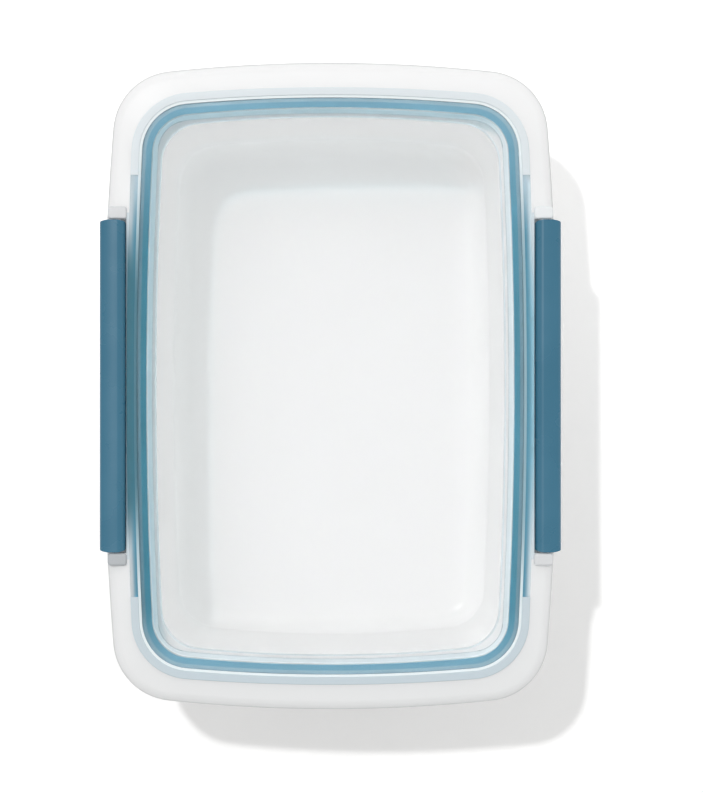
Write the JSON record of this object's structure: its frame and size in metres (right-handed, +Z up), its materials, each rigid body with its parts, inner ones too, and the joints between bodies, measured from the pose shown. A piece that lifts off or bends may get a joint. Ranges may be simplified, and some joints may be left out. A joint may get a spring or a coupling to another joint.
{
  "type": "food storage container",
  "caption": "Rectangular food storage container with a clear-panelled lid, a blue sealing ring and a long swing latch on each side.",
  "frame": {"origin": "middle of the foot, at the bottom centre of the closed container", "axes": "+Z up, +Y along the container's length, +X across it, towards the right latch"},
  "size_m": [0.1708, 0.24, 0.098],
  "materials": {
    "tub_plastic": "translucent moulded plastic, milky, smooth",
    "lid_plastic": "clear moulded plastic in the panel and over the seal, frosted on the skirt",
    "seal_silicone": "soft translucent silicone, teal blue",
    "latch_plastic": "opaque moulded plastic, slate blue, satin"
  },
  "bodies": {
    "tub": {"tub": "tub_plastic"},
    "lid": {"lid": "lid_plastic", "seal": "seal_silicone"},
    "latch_left": {"latch_left": "latch_plastic"},
    "latch_right": {"latch_right": "latch_plastic"}
  },
  "joints": [
    {"name": "lid_lift", "type": "slide", "parent": "tub", "child": "lid", "axis": [0, 0, 1], "range_m": [0, 0.12]},
    {"name": "latch_left_swing", "type": "hinge", "parent": "lid", "child": "latch_left", "pos_m": [-0.0788, 0, 0.0949], "axis": [0, 1, 0], "range_deg": [0, 96]},
    {"name": "latch_right_swing", "type": "hinge", "parent": "lid", "child": "latch_right", "pos_m": [0.0788, 0, 0.0949], "axis": [0, -1, 0], "range_deg": [0, 96]}
  ]
}
